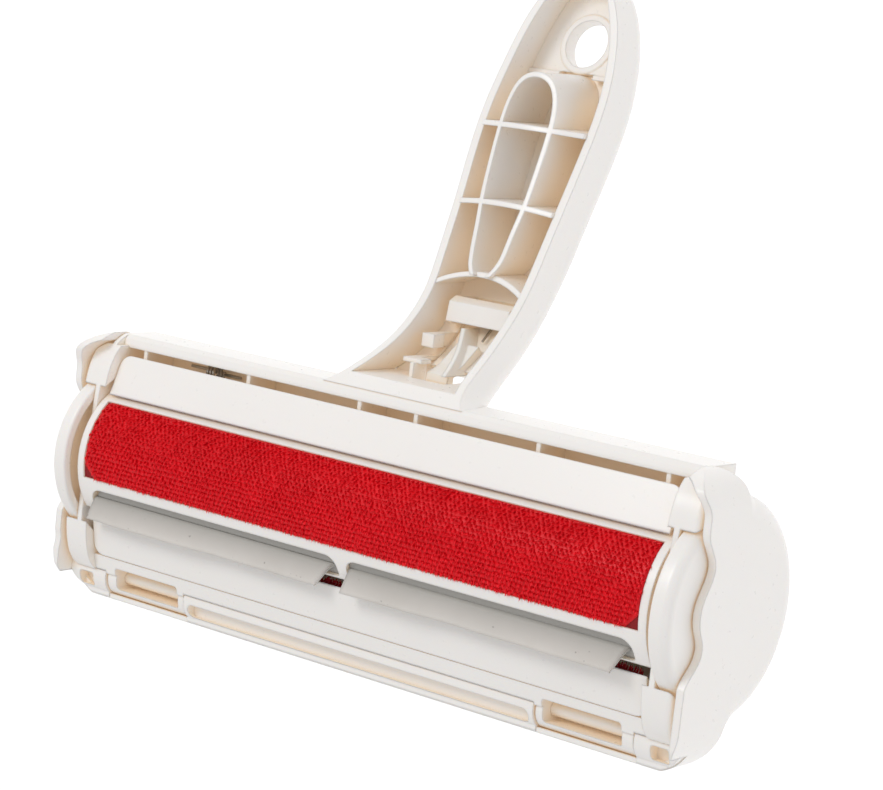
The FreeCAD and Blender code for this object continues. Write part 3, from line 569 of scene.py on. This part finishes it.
def wiper(name, node, low, high, r0, r1, squashed):
    # Short dark pile on a thin carrier under a lip, from angle low to angle high.
    rows, columns = 3, 60

    def carrier(radius):
        return np.array([on_roller(WIPER_HALF * (2 * c / (columns - 1) - 1), radius,
                                   low + (high - low) * r / (rows - 1))
                         for r in range(rows) for c in range(columns)])

    points, faces = closed_slab(carrier(r1), carrier(r1 - WIPER_CARRIER_T), rows, columns)
    pile = Pile(points, faces, 0.1)
    for row in range(WIPER_ROWS):
        for column in range(WIPER_COLUMNS):
            a = low + (high - low) * (row + 0.5) / WIPER_ROWS + RNG.normal(0, 0.3)
            place = (column + 0.5 * (row % 2)) / WIPER_COLUMNS
            x = WIPER_PILE_HALF * (2 * place - 1) + RNG.normal(0, 0.12)
            up = -Vector((0, *polar(1, a)))
            lean = Vector((RNG.normal(0, 0.4), *polar(1, a + 90)))
            lean.normalize()
            across = up.cross(lean).normalized()
            root = Vector(on_roller(x, r1 - 0.05, a))
            length = (r1 - r0) * RNG.uniform(0.8, 1.1)
            pile.add(fibre(root, up, lean, across, length, 0.2, 0.1), RNG.random())
    piece = pile.build(name, WIPER)
    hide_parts(node)
    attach(piece, "frame")
    if squashed:
        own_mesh(piece)


# ------------------------------------------------------------------ thumb grip
GRIP_CURVE = [(36.2, -22.6), (38.0, -25.0), (43.0, -30.4), (46.4, -33.2)]
GRIP_RIBS = 6
RIB_HEIGHT = 0.32
GRIP_SKIN, GRIP_DEPTH = 0.03, 0.5    # the sheet's outer and inner face, from its curve


def grip():
    # Ribbed soft pad on the release button: a thin curved sheet with cross ribs.
    low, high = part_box("button_grip_pad")
    centre = curve_through(GRIP_CURVE, 61)
    rows, columns = len(centre), 21
    top, bottom = [], []
    half = (high.x - low.x) / MM / 2 - 0.02
    for i, (y, z) in enumerate(centre):
        a, b = centre[max(0, i - 1)], centre[min(rows - 1, i + 1)]
        dy, dz = b[0] - a[0], b[1] - a[1]
        length = math.hypot(dy, dz)
        out = (dz / length, -dy / length)
        rib = RIB_HEIGHT * max(0.0, math.sin(i / (rows - 1) * 2 * math.pi * GRIP_RIBS)) * (0 < i < rows - 1)
        for c in range(columns):
            u = 2 * c / (columns - 1) - 1
            fade = min(1.0, 6 * (1 - abs(u)))
            rise = GRIP_SKIN + rib * fade
            top.append((half * u, y + out[0] * rise, z + out[1] * rise))
            bottom.append((half * u, y - out[0] * GRIP_DEPTH, z - out[1] * GRIP_DEPTH))
    points, faces = closed_slab(np.array(top), np.array(bottom), rows, columns)
    piece = make_piece("thumb_grip_ribs", points, faces, GRIP)
    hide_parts("button_grip_pad")
    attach(piece, "release")


# ------------------------------------------------------------------ stage
FLOOR_Z = -330.0
FLOOR_HALF = 6.0                     # metres
WORLD_LIGHT = 0.68
CAMERA_AT = (384.35, 122.46, 482.83)
LENS = 110.2
RIGHT = Vector((0.77609, 0.10828, -0.62126))
DOWN = Vector((0.17565, -0.98328, 0.04805))
FORWARD = Vector((-0.60567, -0.14642, -0.78213))


def area_light(name, at, towards, size, watts, colour):
    data = bpy.data.lights.new(name, "AREA")
    data.shape = "DISK"
    data.size = size
    data.energy = watts
    data.color = colour
    light = bpy.data.objects.new(name, data)
    light.location = P(*at)
    light.rotation_euler = (P(*towards) - light.location).to_track_quat("-Z", "Y").to_euler()
    bpy.context.scene.collection.objects.link(light)


def stage():
    # A pale floor, a bright room, two soft lights and the camera.
    z = P(0, 0, FLOOR_Z).z
    mesh = bpy.data.meshes.new("floor")
    corners = [(FLOOR_HALF * i, FLOOR_HALF * j, z) for i, j in ((-1, -1), (1, -1), (1, 1), (-1, 1))]
    mesh.from_pydata(corners, [], [(0, 1, 2, 3)])
    mesh.materials.append(floor_material())
    floor = bpy.data.objects.new("floor", mesh)
    bpy.context.scene.collection.objects.link(floor)
    world = bpy.data.worlds.new("studio")
    bpy.context.scene.world = world
    world.use_nodes = True
    back = world.node_tree.nodes["Background"]
    back.inputs[0].default_value = (1.0, 1.0, 1.0, 1.0)
    back.inputs[1].default_value = WORLD_LIGHT
    area_light("key", (-260, 520, 700), (0, 20, 0), 0.35, 2.3, (1.0, 0.995, 0.98))
    area_light("fill", (600, -300, 500), (0, 0, 0), 0.6, 0.5, (0.97, 0.98, 1.0))
    data = bpy.data.cameras.new("camera")
    data.sensor_width = 36.0
    data.lens = LENS
    data.clip_start = 0.01
    data.clip_end = 20.0
    camera = bpy.data.objects.new("camera", data)
    bpy.context.scene.collection.objects.link(camera)
    up, back_way = -DOWN, -FORWARD
    camera.matrix_world = Matrix(((RIGHT.x, up.x, back_way.x, P(*CAMERA_AT).x),
                                  (RIGHT.y, up.y, back_way.y, P(*CAMERA_AT).y),
                                  (RIGHT.z, up.z, back_way.z, P(*CAMERA_AT).z),
                                  (0, 0, 0, 1)))
    bpy.context.scene.camera = camera
    bpy.context.scene.view_settings.view_transform = "Standard"


# ------------------------------------------------------------------ build
for entry in frame["record"]["subparts"]:
    node = frame["nodes"][entry["node"]]
    node.data.materials.clear()
    node.data.materials.append(BY_SLOT[entry["material_slot"]])
velvet()
blades()
wiper("wiper_pile_lower", "lower_wiper_pile", -55.0, -47.2, 17.9, 19.55, True)
wiper("wiper_pile_upper", "upper_wiper_pile", 55.0, 66.0, 19.05, 19.6, False)
grip()
stage()
